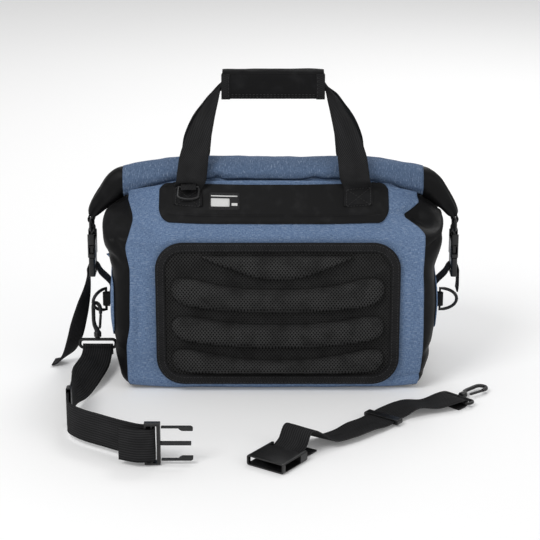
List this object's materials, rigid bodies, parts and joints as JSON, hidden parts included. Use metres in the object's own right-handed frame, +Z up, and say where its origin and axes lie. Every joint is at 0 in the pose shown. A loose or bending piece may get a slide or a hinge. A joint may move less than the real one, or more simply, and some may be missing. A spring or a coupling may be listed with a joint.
{
  "type": "dry bag",
  "caption": "Roll-top duffel dry bag with a ribbed mesh back pad, wrap-grip carry handles, side compression buckles and a detachable two-part waist belt.",
  "frame": {"origin": "centre of the flat base, on the surface it stands on", "axes": "+Z up; -Y out of the wearer's side with the mesh pad; +X to the right when facing that side"},
  "size_m": [0.574, 0.4654, 0.402],
  "materials": {
    "blue_fabric": "heathered coated weave, matt",
    "black_tarpaulin": "satin coated tarpaulin",
    "black_patch": "fine grain, matt",
    "black_mesh": "spacer mesh",
    "black_webbing": "ribbed webbing",
    "black_plastic": "moulded, satin",
    "label": "woven, plain"
  },
  "bodies": {
    "bag": {"base_panel": "black_tarpaulin", "back_panel": "blue_fabric", "front_panel": "blue_fabric", "left_gusset": "black_tarpaulin", "right_gusset": "black_tarpaulin", "back_patch": "black_patch", "front_patch": "black_patch", "name_label": "label", "left_side_patch": "blue_fabric", "right_side_patch": "blue_fabric", "lumbar_pad": "black_mesh", "pad_binding": "black_webbing", "lash_tab": "black_webbing", "left_ring_tab": "black_webbing", "right_ring_tab": "black_webbing", "left_side_strap": "black_webbing", "right_side_strap": "black_webbing", "back_handle": "black_webbing", "front_handle": "black_webbing"},
    "grip": {"grip_cover": "black_tarpaulin", "loop_tape": "black_mesh"},
    "flap": {"grip_flap": "black_tarpaulin", "hook_tape": "black_mesh"},
    "roll_top": {"roll_sleeve": "blue_fabric", "mouth_stiffener": "black_plastic", "left_roll_end": "black_tarpaulin", "right_roll_end": "black_tarpaulin", "left_roll_tab": "black_webbing", "right_roll_tab": "black_webbing", "left_roll_ring": "black_plastic", "right_roll_ring": "black_plastic", "left_buckle_loop": "black_webbing", "right_buckle_loop": "black_webbing", "left_buckle_socket": "black_plastic", "right_buckle_socket": "black_plastic"},
    "left_plug": {"left_buckle_plug": "black_plastic"},
    "left_near_arm": {"left_near_prong": "black_plastic"},
    "left_far_arm": {"left_far_prong": "black_plastic"},
    "right_plug": {"right_buckle_plug": "black_plastic"},
    "right_near_arm": {"right_near_prong": "black_plastic"},
    "right_far_arm": {"right_far_prong": "black_plastic"},
    "left_ring": {"left_side_ring": "black_plastic"},
    "left_hook": {"left_hook": "black_plastic"},
    "left_gate": {"left_gate": "black_plastic"},
    "left_belt": {"left_swivel_loop": "black_plastic", "left_belt_webbing": "black_webbing", "belt_plug": "black_plastic"},
    "left_adjuster": {"left_slider": "black_plastic"},
    "lower_arm": {"lower_belt_prong": "black_plastic"},
    "upper_arm": {"upper_belt_prong": "black_plastic"},
    "right_ring": {"right_side_ring": "black_plastic"},
    "lash": {"lash_ring": "black_plastic"},
    "right_belt": {"right_swivel_loop": "black_plastic", "right_belt_webbing": "black_webbing", "belt_socket": "black_plastic"},
    "right_hook": {"right_hook": "black_plastic"},
    "right_gate": {"right_gate": "black_plastic"},
    "right_adjuster": {"right_slider": "black_plastic"}
  },
  "joints": [
    {"name": "handle_swing", "type": "hinge", "parent": "bag", "child": "grip", "pos_m": [0, 0, 0.262], "axis": [1, 0, 0], "range_deg": [-30, 30], "deforming": ["back_handle", "front_handle"]},
    {"name": "flap_open", "type": "hinge", "parent": "grip", "child": "flap", "pos_m": [0, -0.0165, 0.4], "axis": [1, 0, 0], "range_deg": [-120, 0]},
    {"name": "roll_lift", "type": "slide", "parent": "bag", "child": "roll_top", "axis": [0, 0, 1], "range_m": [0, 0.03]},
    {"name": "left_buckle_release", "type": "slide", "parent": "bag", "child": "left_plug", "axis": [0, 0, -1], "range_m": [0, 0.018], "deforming": ["left_side_strap"]},
    {"name": "left_near_squeeze", "type": "hinge", "parent": "left_plug", "child": "left_near_arm", "pos_m": [-0.2385, -0.0115, 0.1542], "axis": [1, 0, 0], "range_deg": [-6, 0], "stiffness_Nm_per_rad": 0.3},
    {"name": "left_far_squeeze", "type": "hinge", "parent": "left_plug", "child": "left_far_arm", "pos_m": [-0.2385, 0.0115, 0.1542], "axis": [1, 0, 0], "range_deg": [0, 6], "stiffness_Nm_per_rad": 0.3},
    {"name": "right_buckle_release", "type": "slide", "parent": "bag", "child": "right_plug", "axis": [0, 0, -1], "range_m": [0, 0.018], "deforming": ["right_side_strap"]},
    {"name": "right_near_squeeze", "type": "hinge", "parent": "right_plug", "child": "right_near_arm", "pos_m": [0.2385, -0.0115, 0.1542], "axis": [1, 0, 0], "range_deg": [-6, 0], "stiffness_Nm_per_rad": 0.3},
    {"name": "right_far_squeeze", "type": "hinge", "parent": "right_plug", "child": "right_far_arm", "pos_m": [0.2385, 0.0115, 0.1542], "axis": [1, 0, 0], "range_deg": [0, 6], "stiffness_Nm_per_rad": 0.3},
    {"name": "left_ring_swing", "type": "hinge", "parent": "bag", "child": "left_ring", "pos_m": [-0.2225, 0, 0.0925], "axis": [0, 0, 1], "range_deg": [-25, 8]},
    {"name": "left_hook_tilt", "type": "hinge", "parent": "left_ring", "child": "left_hook", "pos_m": [-0.23417, -0.01167, 0.08244], "axis": [1, 0, 0], "range_deg": [-20, 0]},
    {"name": "left_gate_open", "type": "hinge", "parent": "left_hook", "child": "left_gate", "pos_m": [-0.23092, -0.01492, 0.05589], "axis": [-0.7071, -0.7071, 0], "range_deg": [0, 22], "stiffness_Nm_per_rad": 0.05},
    {"name": "left_swivel", "type": "hinge", "parent": "left_hook", "child": "left_belt", "pos_m": [-0.23417, -0.01167, 0.031], "axis": [0, 0, 1], "range_deg": [-40, 8]},
    {"name": "left_slider_shift", "type": "slide", "parent": "left_belt", "child": "left_adjuster", "axis": [0, 1, 0], "range_m": [-0.005, 0.02]},
    {"name": "lower_squeeze", "type": "hinge", "parent": "left_belt", "child": "lower_arm", "pos_m": [-0.1304, -0.333, 0.0062], "axis": [0, 1, 0], "range_deg": [-5, 0], "stiffness_Nm_per_rad": 0.3},
    {"name": "upper_squeeze", "type": "hinge", "parent": "left_belt", "child": "upper_arm", "pos_m": [-0.1304, -0.333, 0.0468], "axis": [0, 1, 0], "range_deg": [0, 5], "stiffness_Nm_per_rad": 0.3},
    {"name": "right_ring_swing", "type": "hinge", "parent": "bag", "child": "right_ring", "pos_m": [0.2225, 0, 0.0925], "axis": [0, 0, 1], "range_deg": [-70, 70]},
    {"name": "lash_ring_swing", "type": "hinge", "parent": "bag", "child": "lash", "pos_m": [-0.1075, -0.06445, 0.26337], "axis": [1, 0, 0], "range_deg": [-130, 0]},
    {"name": "right_belt_lift", "type": "slide", "parent": "bag", "child": "right_belt", "axis": [0, 0, 1], "range_m": [0, 0.08]},
    {"name": "right_swivel", "type": "hinge", "parent": "right_belt", "child": "right_hook", "pos_m": [0.27289, -0.09923, 0.006], "axis": [0.7001, 0.7141, 0], "continuous": true},
    {"name": "right_gate_open", "type": "hinge", "parent": "right_hook", "child": "right_gate", "pos_m": [0.25203, -0.12708, 0.006], "axis": [0, 0, 1], "range_deg": [0, 22], "stiffness_Nm_per_rad": 0.05},
    {"name": "right_slider_shift", "type": "slide", "parent": "right_belt", "child": "right_adjuster", "axis": [0.6198, 0.7848, 0], "range_m": [-0.012, 0.012]}
  ],
  "couplings": [
    {"joint": "left_far_squeeze", "follows": "left_near_squeeze", "ratio": -1},
    {"joint": "right_far_squeeze", "follows": "right_near_squeeze", "ratio": -1},
    {"joint": "upper_squeeze", "follows": "lower_squeeze", "ratio": -1}
  ]
}
